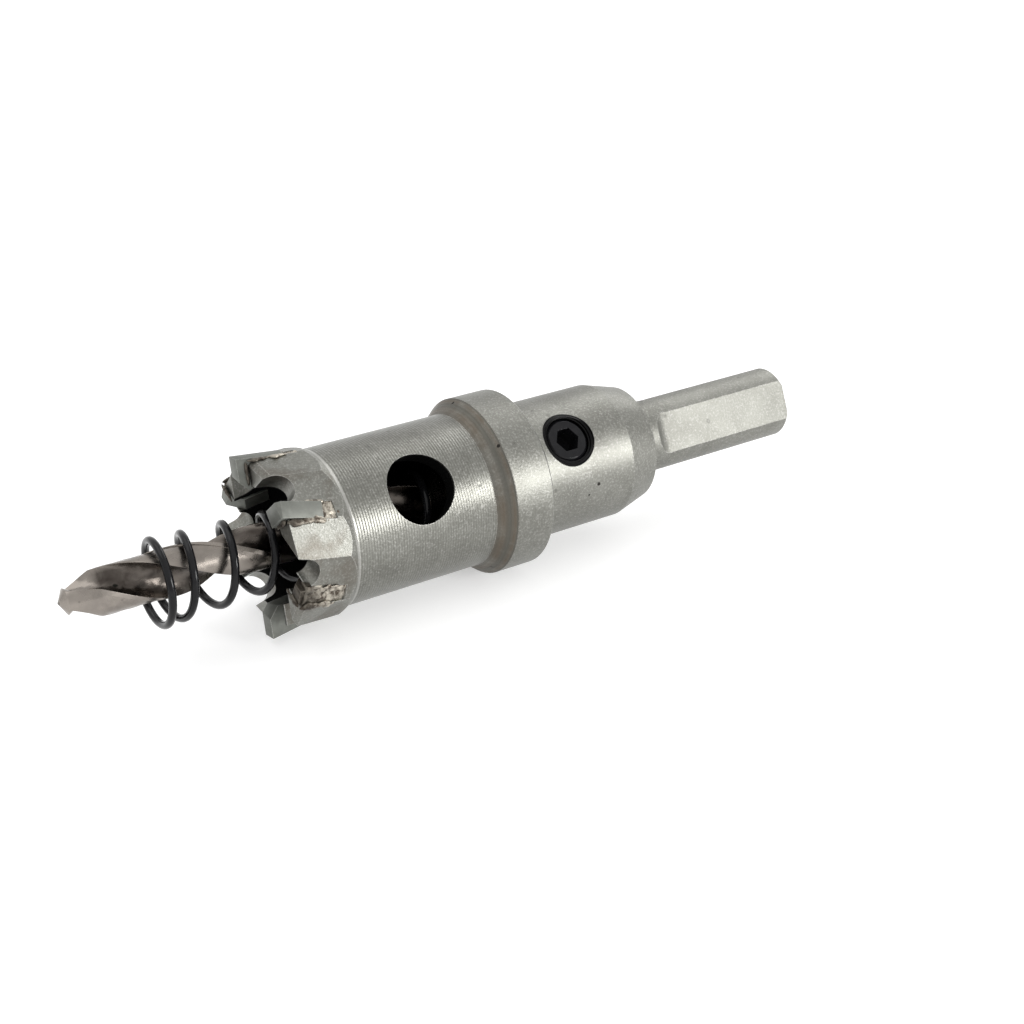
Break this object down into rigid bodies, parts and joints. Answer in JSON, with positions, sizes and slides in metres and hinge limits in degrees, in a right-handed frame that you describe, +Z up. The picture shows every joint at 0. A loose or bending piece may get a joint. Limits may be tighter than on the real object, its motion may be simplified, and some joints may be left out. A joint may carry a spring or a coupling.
{
  "type": "hole saw",
  "caption": "Hole saw with a three-flat shank, a stepped steel cup with brazed cutting tips, a pilot drill and an ejector spring.",
  "frame": {"origin": "centre of the shank's flat end face, on the tool's axis", "axes": "+X along the axis, out of the shank's end, so the teeth and the drill's point look to -X; +Z up with the tool lying on its side"},
  "size_m": [0.1073, 0.0236, 0.0236],
  "materials": {
    "body_steel": "blasted and hardened steel, light grey, with fine turning marks",
    "carbide": "ground cemented carbide, mid grey",
    "drill_steel": "polished tool steel, warm grey, flutes slightly brown",
    "black_steel": "black oxide, thinly oiled"
  },
  "bodies": {
    "root": {"cutter_body": "body_steel", "carbide_tip_1": "carbide", "carbide_tip_2": "carbide", "carbide_tip_3": "carbide", "carbide_tip_4": "carbide", "carbide_tip_5": "carbide", "carbide_tip_6": "carbide", "pilot_drill": "drill_steel", "ejector_spring": "black_steel", "set_screw": "black_steel"}
  },
  "joints": []
}
